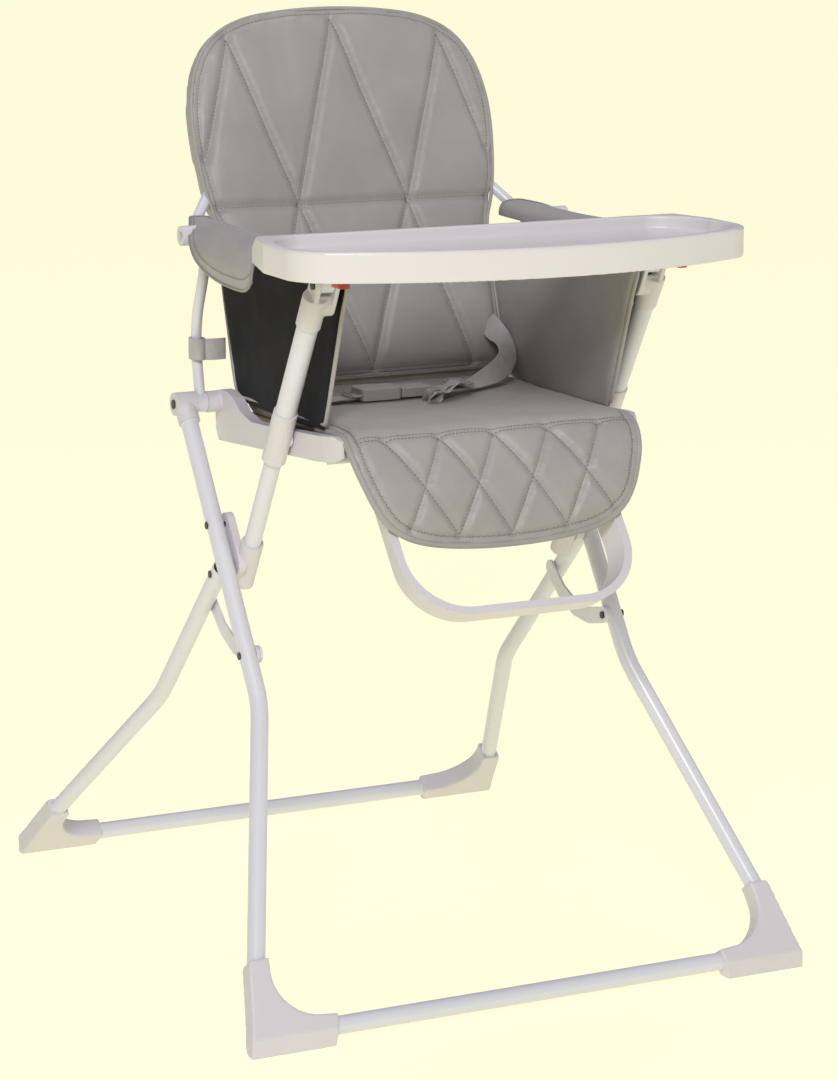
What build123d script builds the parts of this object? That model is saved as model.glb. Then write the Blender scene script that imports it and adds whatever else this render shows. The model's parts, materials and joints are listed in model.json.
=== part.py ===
from build123d import *
import math
import os

# Folding baby high chair, millimetres, +Z up, the sitter faces -Y.
# Side-view points are (y, z) pairs.  Every piece is moved by origin_shift along Y
# at the end, so that the origin is the floor point below the middle of the chair.
origin_shift = 37.5

# Steel tube of the two leg frames.
leg_radius = 9.8
leg_wall = 1.2
floor_bar_height = 17.0

# Front leg frame: floor bar axis and seat pivot, both in side view.
front_bar = (-391.0, floor_bar_height)
seat_pivot = (28.0, 608.0)
front_leg_x = 226.0
front_foot_x = 322.0
front_bend_along = 362.0

# Rear leg frame: floor bar axis and its pivot on the elbow.
rear_bar = (357.0, floor_bar_height)
rear_pivot = (-64.0, 432.0)
rear_leg_x = 225.0
rear_foot_x = 314.0
rear_bend_along = 330.0
rear_end_past_pivot = 12.0
bar_corner_radius = 60.0
leg_bend_radius = 150.0

# Elbow, brace link and telescopic arm.
elbow_pivot = (-58.6, 486.0)
link_rear_pivot = (-18.3, 387.0)
link_front_pivot = (-149.1, 358.5)
link_sag = 21.0
link_inner_x = 211.8
link_outer_x = 214.6
elbow_plate_inner_x = 206.0
elbow_plate_outer_x = 214.6
arm_x = 199.0
arm_point = (-95.5, 464.0)
arm_direction = (-0.5175, 0.8557)
lower_arm_radius = 9.5
upper_arm_radius = 11.5
arm_wall = 1.4
sleeve_radius = 13.2
seat_joint_along = 158.0
cap_joint_along = 367.0

# Back frame and armrest.
back_tube_x = 207.5
back_tube_radius = 6.0
armrest_pivot = (2.0, 799.0)
bar_inner_x = 184.0
bar_outer_x = 199.0
bar_bottom = 793.0
bar_top = 805.0

# Tray.
tray_half_width = 262.0
tray_front = -445.0
tray_rear = -236.0
tray_arm_end = -206.0
tray_bottom = 793.0
tray_top = 825.0
tray_wall = 3.0

# Seat, cushion and pads.
front_tube_point = (-245.0, 587.5)
rear_tube_point = (-40.0, 584.0)
cross_tube_radius = 6.5
bracket_inner_x = 172.0
bracket_outer_x = 185.0
cushion_half_width = 164.0
pad_recline = 17.0

# Footrest.
footrest_low = (-376.0, 430.0)
rest_half_width = 137.0
rest_half_depth = 15.5
rest_thickness = 9.0
rest_toe_in = 12.0
rest_corner_radius = 72.0

pivot_radius = 3.0
pivot_gap = 0.05
main_pin_radius = 4.0
rivet_head_radius = 4.2

pieces = {}


def side_point(start, direction, along):
    return (start[0] + direction[0] * along, start[1] + direction[1] * along)


def unit(start, end):
    length = math.dist(start, end)
    return ((end[0] - start[0]) / length, (end[1] - start[1]) / length)


def rod(x_from, x_to, point, radius):
    plane = Plane(origin=(min(x_from, x_to), point[0], point[1]), z_dir=(1, 0, 0))
    return extrude(plane * Circle(radius), abs(x_to - x_from))


def side_slab(x_from, x_to, points):
    plane = Plane(origin=(min(x_from, x_to), 0, 0), x_dir=(0, 1, 0), z_dir=(1, 0, 0))
    face = plane * make_face(Polyline(*points, close=True))
    return extrude(face, abs(x_to - x_from), dir=(1, 0, 0))


def side_hull(x_from, x_to, circles):
    # Slab whose outline is the hull of circles given as (point, radius).
    plane = Plane(origin=(min(x_from, x_to), 0, 0), x_dir=(0, 1, 0), z_dir=(1, 0, 0))
    edges = []
    for point, radius in circles:
        edges += (Pos(point[0], point[1]) * Circle(radius)).edges()
    return extrude(plane * make_hull(edges), abs(x_to - x_from), dir=(1, 0, 0))


def box_between(x_range, y_range, z_range):
    size = [high - low for low, high in (x_range, y_range, z_range)]
    centre = [(high + low) / 2 for low, high in (x_range, y_range, z_range)]
    return Pos(*centre) * Box(*size)


def straight_rod(start, end, radius):
    axis = Vector(*end) - Vector(*start)
    return extrude(Plane(origin=start, z_dir=axis) * Circle(radius), axis.length)


def bent_rod(points, radii, radius):
    path = FilletPolyline(*points, radius=radii)
    start = path @ 0
    return sweep(Plane(origin=start, z_dir=path % 0) * Circle(radius), path=path)


def bent_tube(points, radii, radius, wall):
    return bent_rod(points, radii, radius) - bent_rod(points, radii, radius - wall)


def mirrored(shape):
    return mirror(shape, about=Plane.YZ)


def both_sides(name, shape):
    pieces[name + "_right"] = shape
    pieces[name + "_left"] = mirrored(shape)


def pair(shape):
    return Compound(children=[*shape.solids(), *mirrored(shape).solids()])


front_direction = unit(front_bar, seat_pivot)
rear_direction = unit(rear_bar, rear_pivot)
front_length = math.dist(front_bar, seat_pivot)
rear_length = math.dist(rear_bar, rear_pivot)
seat_joint = side_point(arm_point, arm_direction, seat_joint_along)
cap_joint = side_point(arm_point, arm_direction, cap_joint_along)


def arm_at(along, x=arm_x):
    point = side_point(arm_point, arm_direction, along)
    return (x, point[0], point[1])


def leg_points(bar, direction, leg_x, foot_x, bend_along, top_along):
    def at(x, along):
        point = side_point(bar, direction, along)
        return (x, point[0], point[1])

    return [
        at(leg_x, top_along),
        at(leg_x, bend_along),
        at(foot_x, 0),
        at(-foot_x, 0),
        at(-leg_x, bend_along),
        at(-leg_x, top_along),
    ]


leg_radii = [leg_bend_radius, bar_corner_radius, bar_corner_radius, leg_bend_radius]
front_points = leg_points(
    front_bar, front_direction, front_leg_x, front_foot_x, front_bend_along, front_length - 14
)
rear_points = leg_points(
    rear_bar, rear_direction, rear_leg_x, rear_foot_x, rear_bend_along, rear_length + rear_end_past_pivot
)


def foot(bar, direction, leg_x, foot_x, bend_along, points):
    # Corner cap in the plane of the leg frame, cut flat on the floor.
    plane = Plane(origin=(0, bar[0], bar[1]), x_dir=(1, 0, 0), z_dir=(0, direction[1], -direction[0]))
    slope = (foot_x - leg_x) / bend_along
    side = 1 if (plane.y_dir.Z > 0) else -1
    top = 80 * side
    floor = -22 * side
    leg_at_top = foot_x - slope * 80
    outer = foot_x + 8
    inner = foot_x - 94
    lean = math.atan(slope)
    reach = bar_corner_radius / math.tan((math.pi / 2 - lean) / 2)
    cover = bar_corner_radius - 11.5

    def bend_point(turn):
        return (
            foot_x - reach + cover * math.cos(turn),
            (bar_corner_radius + cover * math.sin(turn)) * side,
        )

    bar_side = bend_point(-math.pi / 2)
    bend_middle = bend_point((lean - math.pi / 2) / 2)
    leg_side = bend_point(lean)
    outline = make_face(
        [
            Line((leg_at_top + 12.5, top), (outer, -4 * side)),
            Line((outer, -4 * side), (outer, floor)),
            Line((outer, floor), (inner + 8, floor)),
            Line((inner + 8, floor), (inner, bar_side[1])),
            Line((inner, bar_side[1]), bar_side),
            ThreePointArc(bar_side, bend_middle, leg_side),
            Line(leg_side, (leg_at_top - 11.5, top)),
            Line((leg_at_top - 11.5, top), (leg_at_top + 12.5, top)),
        ]
    )
    cap = extrude(plane * outline, 12.5, both=True)
    cap = cap & box_between((0, 600), (front_bar[0] - 13, rear_bar[0] + 13), (0, 400))
    return cap - bent_rod(points, leg_radii, leg_radius)


# Front leg frame, the root of the assembly.
pieces["front_leg_frame"] = bent_tube(front_points, leg_radii, leg_radius, leg_wall)
both_sides(
    "front_foot",
    foot(front_bar, front_direction, front_leg_x, front_foot_x, front_bend_along, front_points),
)
hub_base = side_point(front_bar, front_direction, front_length - 24)
hub = straight_rod((front_leg_x, *hub_base), (front_leg_x, *seat_pivot), leg_radius + 2.4)
hub += rod(214.0, 239.0, seat_pivot, 13.0)
hub -= straight_rod(
    (front_leg_x, *side_point(front_bar, front_direction, front_length - 60)),
    (front_leg_x, *side_point(front_bar, front_direction, front_length - 14)),
    leg_radius,
)
hub -= rod(210.0, 240.0, seat_pivot, main_pin_radius)
both_sides("front_top_hub", hub)
main_pin = rod(168.0, 240.0, seat_pivot, main_pin_radius)
main_pin += rod(166.0, 168.0, seat_pivot, 6.0) + rod(239.0, 240.4, seat_pivot, 5.2)
pieces["seat_pivot_pins"] = pair(main_pin)


def frame_rivet(point, leg_x, inner_x):
    shank = rod(inner_x, leg_x + leg_radius + 0.4, point, pivot_radius)
    heads = rod(inner_x - 1.6, inner_x, point, rivet_head_radius)
    heads += rod(leg_x + leg_radius + 0.2, leg_x + leg_radius + 1.2, point, rivet_head_radius)
    return shank + heads


front_rivets = [
    frame_rivet(elbow_pivot, front_leg_x, elbow_plate_inner_x - 0.3),
    frame_rivet(link_front_pivot, front_leg_x, link_inner_x - 0.3),
]
pieces["front_frame_rivets"] = Compound(
    children=[piece for rivet in front_rivets for piece in pair(rivet).solids()]
)
spacer = rod(214.9, front_leg_x - leg_radius + 2.4, link_front_pivot, 9.0)
spacer -= rod(210.0, 230.0, link_front_pivot, pivot_radius)
leg_solid = bent_rod(front_points, leg_radii, leg_radius)
pieces["link_spacers"] = pair(spacer - leg_solid)
rivet_holes = Compound(children=[piece for rivet in front_rivets for piece in pair(rivet).solids()])
pieces["front_leg_frame"] -= rivet_holes

# Rear leg frame.
rear_rivet = frame_rivet(rear_pivot, rear_leg_x, elbow_plate_inner_x - 0.3)
pieces["rear_leg_frame"] = bent_tube(rear_points, leg_radii, leg_radius, leg_wall) - pair(rear_rivet)
pieces["rear_frame_rivets"] = pair(rear_rivet)
both_sides(
    "rear_foot",
    foot(rear_bar, rear_direction, rear_leg_x, rear_foot_x, rear_bend_along, rear_points),
)

# Brace link, a curved flat strap between the leg frames.
chord = unit(link_rear_pivot, link_front_pivot)
chord_length = math.dist(link_rear_pivot, link_front_pivot)
link_normal = (-chord[1], chord[0])
link_path = []
for step in range(5):
    share = step / 4
    middle = side_point(link_rear_pivot, chord, chord_length * share)
    drop = link_sag * 4 * share * (1 - share)
    link_path.append(side_point(middle, link_normal, drop))
link = None
for start, end in zip(link_path[:-1], link_path[1:]):
    part = side_hull(link_inner_x, link_outer_x, [(start, 9.5), (end, 9.5)])
    link = part if link is None else link + part
link -= rod(200.0, 230.0, link_front_pivot, pivot_radius + pivot_gap)
both_sides("brace_link", link)

# Elbow and lower arm tube.
socket = straight_rod(arm_at(-50), arm_at(9), 12.6)
plate = side_hull(
    elbow_plate_inner_x, elbow_plate_outer_x, [(elbow_pivot, 12.5), (rear_pivot, 12.0), (arm_at(-20)[1:], 14.0)]
)
elbow = socket + plate
elbow -= straight_rod(arm_at(-26), arm_at(12), lower_arm_radius)
for point in (elbow_pivot, rear_pivot):
    elbow -= rod(200.0, 220.0, point, pivot_radius + pivot_gap)
    elbow -= rod(195.0, elbow_plate_inner_x, point, 6.0)
both_sides("elbow", elbow)
lower_tube = straight_rod(arm_at(-26), arm_at(215), lower_arm_radius)
lower_tube -= straight_rod(arm_at(-27), arm_at(216), lower_arm_radius - arm_wall)
both_sides("lower_arm_tube", lower_tube)

# Upper arm tube, latch sleeve and cap.
upper_tube = straight_rod(arm_at(141), arm_at(350), upper_arm_radius)
upper_tube -= straight_rod(arm_at(140), arm_at(351), lower_arm_radius + 0.4)
both_sides("upper_arm_tube", upper_tube)

rear_normal = Vector(0, arm_direction[1], -arm_direction[0])
latch_middle = Vector(*arm_at(162))
latch_plane = Plane(origin=latch_middle, x_dir=(1, 0, 0), z_dir=rear_normal)


def latch_block(width, length, low, high):
    block = extrude(latch_plane * Rectangle(width, length), high)
    return block - extrude(latch_plane * Rectangle(width + 1, length + 1), low)


sleeve = straight_rod(arm_at(130), arm_at(196), sleeve_radius)
sleeve += latch_block(13.0, 36.0, 8.0, 16.0)
boss = rod(186.4, 199.0, seat_joint, 9.0)
sleeve += boss
sleeve -= straight_rod(arm_at(141), arm_at(200), upper_arm_radius)
sleeve -= straight_rod(arm_at(120), arm_at(142), lower_arm_radius + pivot_gap)
sleeve -= latch_block(8.6, 22.6, 12.4, 20.0)
both_sides("latch_sleeve", sleeve)
latch_button = latch_block(8.0, 22.0, 14.8, 18.0)
both_sides("latch_button", fillet(latch_button.faces().sort_by(Axis.Y)[-1].edges(), 0.8))

cap_body = straight_rod(arm_at(313), arm_at(352), 13.4)
fork_low = arm_at(345)[1:]
fork = side_hull(178.6, 183.6, [(cap_joint, 11.0), (fork_low, 12.0)])
fork += side_hull(199.4, 205.0, [(cap_joint, 11.0), (fork_low, 12.0)])
fork += side_hull(178.6, 205.0, [(arm_at(340)[1:], 12.0), (arm_at(348)[1:], 8.0)])
cap = cap_body + fork
cap -= straight_rod(arm_at(300), arm_at(350), upper_arm_radius)
cap -= box_between((183.6, 199.4), (-330, -260), (cap_joint[1] - 12.5, 800))
cap -= rod(180.4, 210.0, cap_joint, pivot_radius)
both_sides("arm_cap", cap)
cap_pin = rod(180.4, 205.0, cap_joint, pivot_radius) + rod(205.0, 206.6, cap_joint, 5.0)
pieces["arm_cap_pins"] = pair(cap_pin)

# Armrest bars with the lugs that turn on the arm caps.
bar = box_between((bar_inner_x, bar_outer_x), (-312, armrest_pivot[0] + 8), (bar_bottom, bar_top))
bar += rod(bar_inner_x, bar_outer_x, armrest_pivot, 8.0)
bar += side_hull(
    bar_inner_x, bar_outer_x, [(cap_joint, 9.0), ((cap_joint[0], bar_bottom + 2), 9.0)]
)
bar = bar & box_between((0, 300), (-400, 100), (700, bar_top))
bar -= rod(170.0, 210.0, cap_joint, pivot_radius + pivot_gap)
bar -= rod(170.0, 210.0, armrest_pivot, main_pin_radius)
both_sides("armrest_bar", bar)

# Cloth flap draped over each armrest bar: an inverted channel.
flap_front = -203.0
flap_rear = -26.0
flap_outer = [(174, 810), (188, 815), (206, 815), (224, 810), (236, 798), (241, 782), (241, 756)]
flap_inner = [(236, 756), (236, 780), (231, 794), (221, 805), (205, 809), (188, 809), (174, 807)]
flap_plane = Plane(origin=(0, flap_front, 0), x_dir=(1, 0, 0), z_dir=(0, -1, 0))
flap_face = flap_plane * make_face(Polyline(*flap_outer, *flap_inner, close=True))
flap = extrude(flap_face, flap_rear - flap_front, dir=(0, 1, 0))
both_sides("armrest_flap", flap)

# Back frame: bowed side tubes, upper hoop, hubs and board.
side_path = [
    (back_tube_x, seat_pivot[0], seat_pivot[1] + 6),
    (back_tube_x, 42.0, 688.0),
    (back_tube_x, 10.0, 758.0),
    (back_tube_x, armrest_pivot[0] + 4, armrest_pivot[1] - 4),
]
side_tube = bent_rod(side_path, [110, 90], back_tube_radius)
side_tube -= rod(195.0, 215.0, seat_pivot, 10.0)
side_tube -= rod(195.0, 215.0, armrest_pivot, 9.0)
both_sides("back_side_tube", side_tube)
eye = rod(201.6, 213.4, seat_pivot, 11.0)
eye -= rod(200.0, 215.0, seat_pivot, main_pin_radius + pivot_gap)
both_sides("back_tube_eye", eye - side_tube)
back_hub = rod(201.0, 238.0, armrest_pivot, 11.0) - rod(226.0, 240.0, armrest_pivot, 5.0)
both_sides("back_hub", back_hub - side_tube)


def pad_plane_y(z):
    return 11.0 + (z - 622.0) * math.tan(math.radians(pad_recline))


hoop_x = 160.0
hoop_low = 850.0
hoop_high = 1008.0
hoop_path = [
    (back_tube_x, armrest_pivot[0] + 6, armrest_pivot[1] + 1),
    (204.0, 52.0, 801.0),
    (hoop_x, pad_plane_y(hoop_low) + 12, hoop_low),
    (hoop_x, pad_plane_y(hoop_high) + 12, hoop_high),
    (-hoop_x, pad_plane_y(hoop_high) + 12, hoop_high),
    (-hoop_x, pad_plane_y(hoop_low) + 12, hoop_low),
    (-204.0, 52.0, 801.0),
    (-back_tube_x, armrest_pivot[0] + 6, armrest_pivot[1] + 1),
]
hoop_radii = [16, 20, 70, 70, 20, 16]
hoop = bent_rod(hoop_path, hoop_radii, back_tube_radius)
pieces["back_hoop"] = hoop - pair(rod(195.0, 240.0, armrest_pivot, 11.0))

# Back pad: a thick upholstered panel, narrower below the armrests.
pad_normal = Vector(0, -math.cos(math.radians(pad_recline)), math.sin(math.radians(pad_recline)))
pad_plane = Plane(origin=(0, pad_plane_y(622.0), 622.0), x_dir=(1, 0, 0), z_dir=pad_normal)
pad_front_half = 10.0
pad_rear_half = 20.0
pad_scale = 1 / math.cos(math.radians(pad_recline))
neck = 199.0 * pad_scale
wide = 280.0 * pad_scale
crown = 414.0 * pad_scale
pad_outline = make_face(
    [
        Line((-164, 16), (164, 16)),
        Line((164, 16), (164, neck - 12)),
        Line((164, neck - 12), (181, neck)),
        Line((181, neck), (187, wide)),
        ThreePointArc((187, wide), (150, crown - 42), (70, crown - 6)),
        ThreePointArc((70, crown - 6), (0, crown), (-70, crown - 6)),
        ThreePointArc((-70, crown - 6), (-150, crown - 42), (-187, wide)),
        Line((-187, wide), (-181, neck)),
        Line((-181, neck), (-164, neck - 12)),
        Line((-164, neck - 12), (-164, 16)),
    ]
)
pad = extrude(pad_plane * pad_outline, pad_front_half, dir=pad_normal)
pad += extrude(pad_plane * pad_outline, pad_rear_half, dir=-pad_normal)
hoop_channel = bent_rod(hoop_path, hoop_radii, back_tube_radius + 0.3)
pieces["back_pad"] = pad - hoop_channel
board_outline = make_face(
    Polyline((-150, 20), (150, 20), (150, neck), (140, wide), (-140, wide), (-150, neck), close=True)
)
board = extrude(pad_plane.offset(-pad_rear_half) * board_outline, 4, dir=-pad_normal)
pieces["back_board"] = board

# Webbing loops that tie the back tubes to the seat cover.
loop_low = 656.0
loop_span = (loop_low, loop_low + 24)
webbing = box_between((199.4, 215.6), (21.5, 49.0), loop_span)
webbing -= box_between((200.9, 214.1), (23.0, 47.5), (loop_low - 1, loop_low + 25))
webbing += box_between((178.0, 200.0), (21.5, 23.0), loop_span)
both_sides("webbing_loop", webbing)

# Seat brackets, board and front tube.
bracket = side_slab(
    bracket_inner_x,
    bracket_outer_x,
    [
        (39, 603), (34, 619), (22, 622), (2, 622), (-16, 617), (-36, 605), (-66, 599), (-100, 601),
        (-276, 616), (-287, 612), (-288, 595), (-270, 588), (-97, 573), (30, 563), (38, 575),
    ],
)
bracket -= extrude(
    Plane.XY.offset(560) * make_face(Polyline((186, -246), (186, -290), (174.5, -290), close=True)), 80
)
bracket += rod(bracket_inner_x, 201.2, seat_pivot, 12.0)
bracket -= rod(160.0, 210.0, seat_pivot, main_pin_radius + pivot_gap)
pieces["seat_cross_tubes"] = Compound(
    children=[
        rod(-bracket_inner_x, bracket_inner_x, point, cross_tube_radius)
        for point in (front_tube_point, rear_tube_point)
    ]
)
both_sides("seat_bracket", bracket)
pieces["seat_board"] = side_slab(-171.5, 171.5, [(0, 591), (0, 598), (-272, 606), (-272, 599)])
cushion = side_slab(
    -cushion_half_width, cushion_half_width, [(-4, 598.4), (-4, 621), (-262, 622), (-275, 616), (-275, 606.4)]
)
pieces["seat_cushion"] = cushion


panel_outline = [(-34, 610), (-236, 621), (-296, 785), (52, 785), (10, 634), (-4, 626), (-18, 622)]
both_sides("side_panel", side_slab(167.0, 177.5, panel_outline))

# Calf pad that hangs from the front edge of the seat.
calf_outer = [(-276.4, 622), (-298, 616), (-316, 592), (-331, 552), (-340, 500)]
calf_inner = [(-329, 500), (-320, 548), (-305, 587), (-290, 603), (-276.4, 607)]
calf_front = Plane(origin=(0, 0, 0), x_dir=(1, 0, 0), z_dir=(0, -1, 0))
calf_outline = make_face(
    [
        Line((-171, 626), (171, 626)),
        Line((171, 626), (160, 572)),
        ThreePointArc((160, 572), (140, 528), (92, 508)),
        ThreePointArc((92, 508), (0, 500), (-92, 508)),
        ThreePointArc((-92, 508), (-140, 528), (-160, 572)),
        Line((-160, 572), (-171, 626)),
    ]
)
calf = side_slab(-171, 171, calf_outer + calf_inner) & extrude(calf_front * calf_outline, 500)
pieces["calf_pad"] = calf

# Footrest: a wide U strip, narrower behind, that turns on the seat's front tube.
rest_length = math.dist(front_tube_point, footrest_low)
rest_direction = unit(front_tube_point, footrest_low)
rest_front = Vector(0, rest_direction[1], -rest_direction[0])
rest_plane = Plane(
    origin=(0, *front_tube_point), x_dir=(1, 0, 0), z_dir=rest_front
).offset(rest_half_depth)
rest_sign = 1 if rest_plane.y_dir.Z * rest_direction[1] > 0 else -1


def rest_loop(inset):
    half = rest_half_width - inset
    low = (rest_length - inset) * rest_sign
    shape = make_face(Polyline((-half, 0), (-half, low), (half, low), (half, 0), close=True))
    low_corners = shape.vertices().sort_by(lambda corner: abs(corner.Y))[-2:]
    outline = fillet(low_corners, rest_corner_radius - inset)
    return extrude(rest_plane * outline, 2 * rest_half_depth, dir=-rest_front, taper=rest_toe_in)


footrest = rest_loop(0) - rest_loop(rest_thickness)
footrest -= rod(-200, 200, front_tube_point, 9.0)
for x_from in (-134.0, 125.0):
    footrest += rod(x_from, x_from + 9.0, front_tube_point, 9.8)
footrest -= rod(-200, 200, front_tube_point, cross_tube_radius + pivot_gap)
footrest = footrest & box_between((-200, 200), (-600, 100), (300, 596))
pieces["footrest"] = footrest

# Tray.
tray_outline = make_face(
    [
        Line((-178, tray_rear), (178, tray_rear)),
        Line((178, tray_rear), (178, tray_arm_end)),
        Line((178, tray_arm_end), (240, tray_arm_end)),
        Line((240, tray_arm_end), (tray_half_width, -290)),
        Line((tray_half_width, -290), (tray_half_width, -340)),
        ThreePointArc((tray_half_width, -340), (252, -375), (224, -396)),
        ThreePointArc((224, -396), (0, tray_front), (-224, -396)),
        ThreePointArc((-224, -396), (-252, -375), (-tray_half_width, -340)),
        Line((-tray_half_width, -340), (-tray_half_width, -290)),
        Line((-tray_half_width, -290), (-240, tray_arm_end)),
        Line((-240, tray_arm_end), (-178, tray_arm_end)),
        Line((-178, tray_arm_end), (-178, tray_rear)),
    ]
)
well_depth = 15.0
floor_bottom = tray_top - well_depth - tray_wall
tray = extrude(Plane.XY.offset(tray_bottom) * tray_outline, tray_top - tray_bottom)
hollow = extrude(
    Plane.XY.offset(tray_bottom) * offset(tray_outline, -tray_wall, kind=Kind.INTERSECTION),
    floor_bottom - tray_bottom,
)
well_outline = make_face(
    [
        Line((-205, tray_rear - 10), (205, tray_rear - 10)),
        ThreePointArc((205, tray_rear - 10), (240, -272), (250, -310)),
        ThreePointArc((250, -310), (244, -362), (216, -388)),
        ThreePointArc((216, -388), (0, tray_front + 9), (-216, -388)),
        ThreePointArc((-216, -388), (-244, -362), (-250, -310)),
        ThreePointArc((-250, -310), (-240, -272), (-205, tray_rear - 10)),
    ]
)
well = extrude(Plane.XY.offset(tray_top - well_depth) * well_outline, well_depth + 1)
tray = tray - hollow - well
tray -= side_slab(-270, 270, [(tray_rear - 2, 826), (-200, 826), (-200, 809)])
for x_range in ((182, 201), (-201, -182)):
    tray -= box_between(x_range, (tray_arm_end - 5, -160), (780, 806.5))
pieces["tray"] = tray
release = box_between((190, 202), (-346, -322), (783, 802))
release = fillet(release.edges().filter_by(Axis.Z), 3)
both_sides("tray_release", release)
guide = box_between((187, 205), (-349, -319), (796, floor_bottom))
guide -= box_between((189.8, 202.2), (-346.2, -321.8), (790, 807))
both_sides("release_guide", guide)

# Safety belt lying on the seat.
belt_width = 24.0
belt_y = (-122.0, -98.0)
belt_bottom = 622.4


def belt(points):
    upper = points
    lower = [(x, z - 2.2) for x, z in reversed(points)]
    plane = Plane(origin=(0, belt_y[1], 0), x_dir=(1, 0, 0), z_dir=(0, -1, 0))
    return extrude(plane * make_face(Polyline(*upper, *lower, close=True)), belt_width)


pieces["belt_left"] = belt([(-163, 626), (-120, 625), (-78.2, 630)])
pieces["belt_right"] = belt(
    [(7, 630), (40, 626), (80, 630), (112, 642), (130, 664), (146, 662), (163, 640)]
)
buckle = box_between((-78, -30), (-127, -93), (622.6, 636))
buckle = fillet(buckle.edges().filter_by(Axis.Z), 5)
buckle -= box_between((-56, -29), (-120, -100), (625.6, 633))
pieces["buckle_body"] = buckle
tongue = box_between((-54, -29), (-119.6, -100.4), (625.8, 632.8))
tongue += box_between((-29.8, 6.8), (-126, -94), (624, 634))
pieces["buckle_tongue"] = tongue

os.makedirs("parts", exist_ok=True)
for name, shape in pieces.items():
    export_step(Pos(0, origin_shift, 0) * shape, f"parts/{name}.step")
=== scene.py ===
import bpy
import bmesh
import json
import math
import numpy as np
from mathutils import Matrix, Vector, noise
from mathutils.bvhtree import BVHTree


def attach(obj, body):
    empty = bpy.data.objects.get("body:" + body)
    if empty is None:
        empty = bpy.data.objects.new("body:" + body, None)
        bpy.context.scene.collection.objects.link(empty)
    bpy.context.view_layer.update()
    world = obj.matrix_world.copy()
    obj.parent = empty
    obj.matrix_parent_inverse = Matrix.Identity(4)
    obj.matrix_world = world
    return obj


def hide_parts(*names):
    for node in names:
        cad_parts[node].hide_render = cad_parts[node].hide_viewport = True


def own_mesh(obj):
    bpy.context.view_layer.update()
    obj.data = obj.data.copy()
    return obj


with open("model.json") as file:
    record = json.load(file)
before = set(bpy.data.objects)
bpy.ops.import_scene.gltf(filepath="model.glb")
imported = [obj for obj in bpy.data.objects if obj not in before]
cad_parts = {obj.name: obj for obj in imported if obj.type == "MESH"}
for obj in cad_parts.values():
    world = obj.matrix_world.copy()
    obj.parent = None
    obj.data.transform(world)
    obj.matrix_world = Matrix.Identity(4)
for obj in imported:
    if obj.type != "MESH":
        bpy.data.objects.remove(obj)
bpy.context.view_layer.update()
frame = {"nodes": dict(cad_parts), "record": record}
nodes = frame["nodes"]
node_body = {n: body for body, names in frame["record"]["behaviour"]["bodies"].items() for n in names}
node_slot = {part["node"]: part["material_slot"] for part in frame["record"]["subparts"]}

MM = 0.001
SHIFT = 37.5  # the chair's middle lies this far behind the side-view origin, in mm
scene = bpy.context.scene


def point(x, y, z):
    """A point given in side-view millimetres, in metres in the frame."""
    return Vector((x, y + SHIFT, z)) * MM


# ---------------------------------------------------------------- materials


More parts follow.
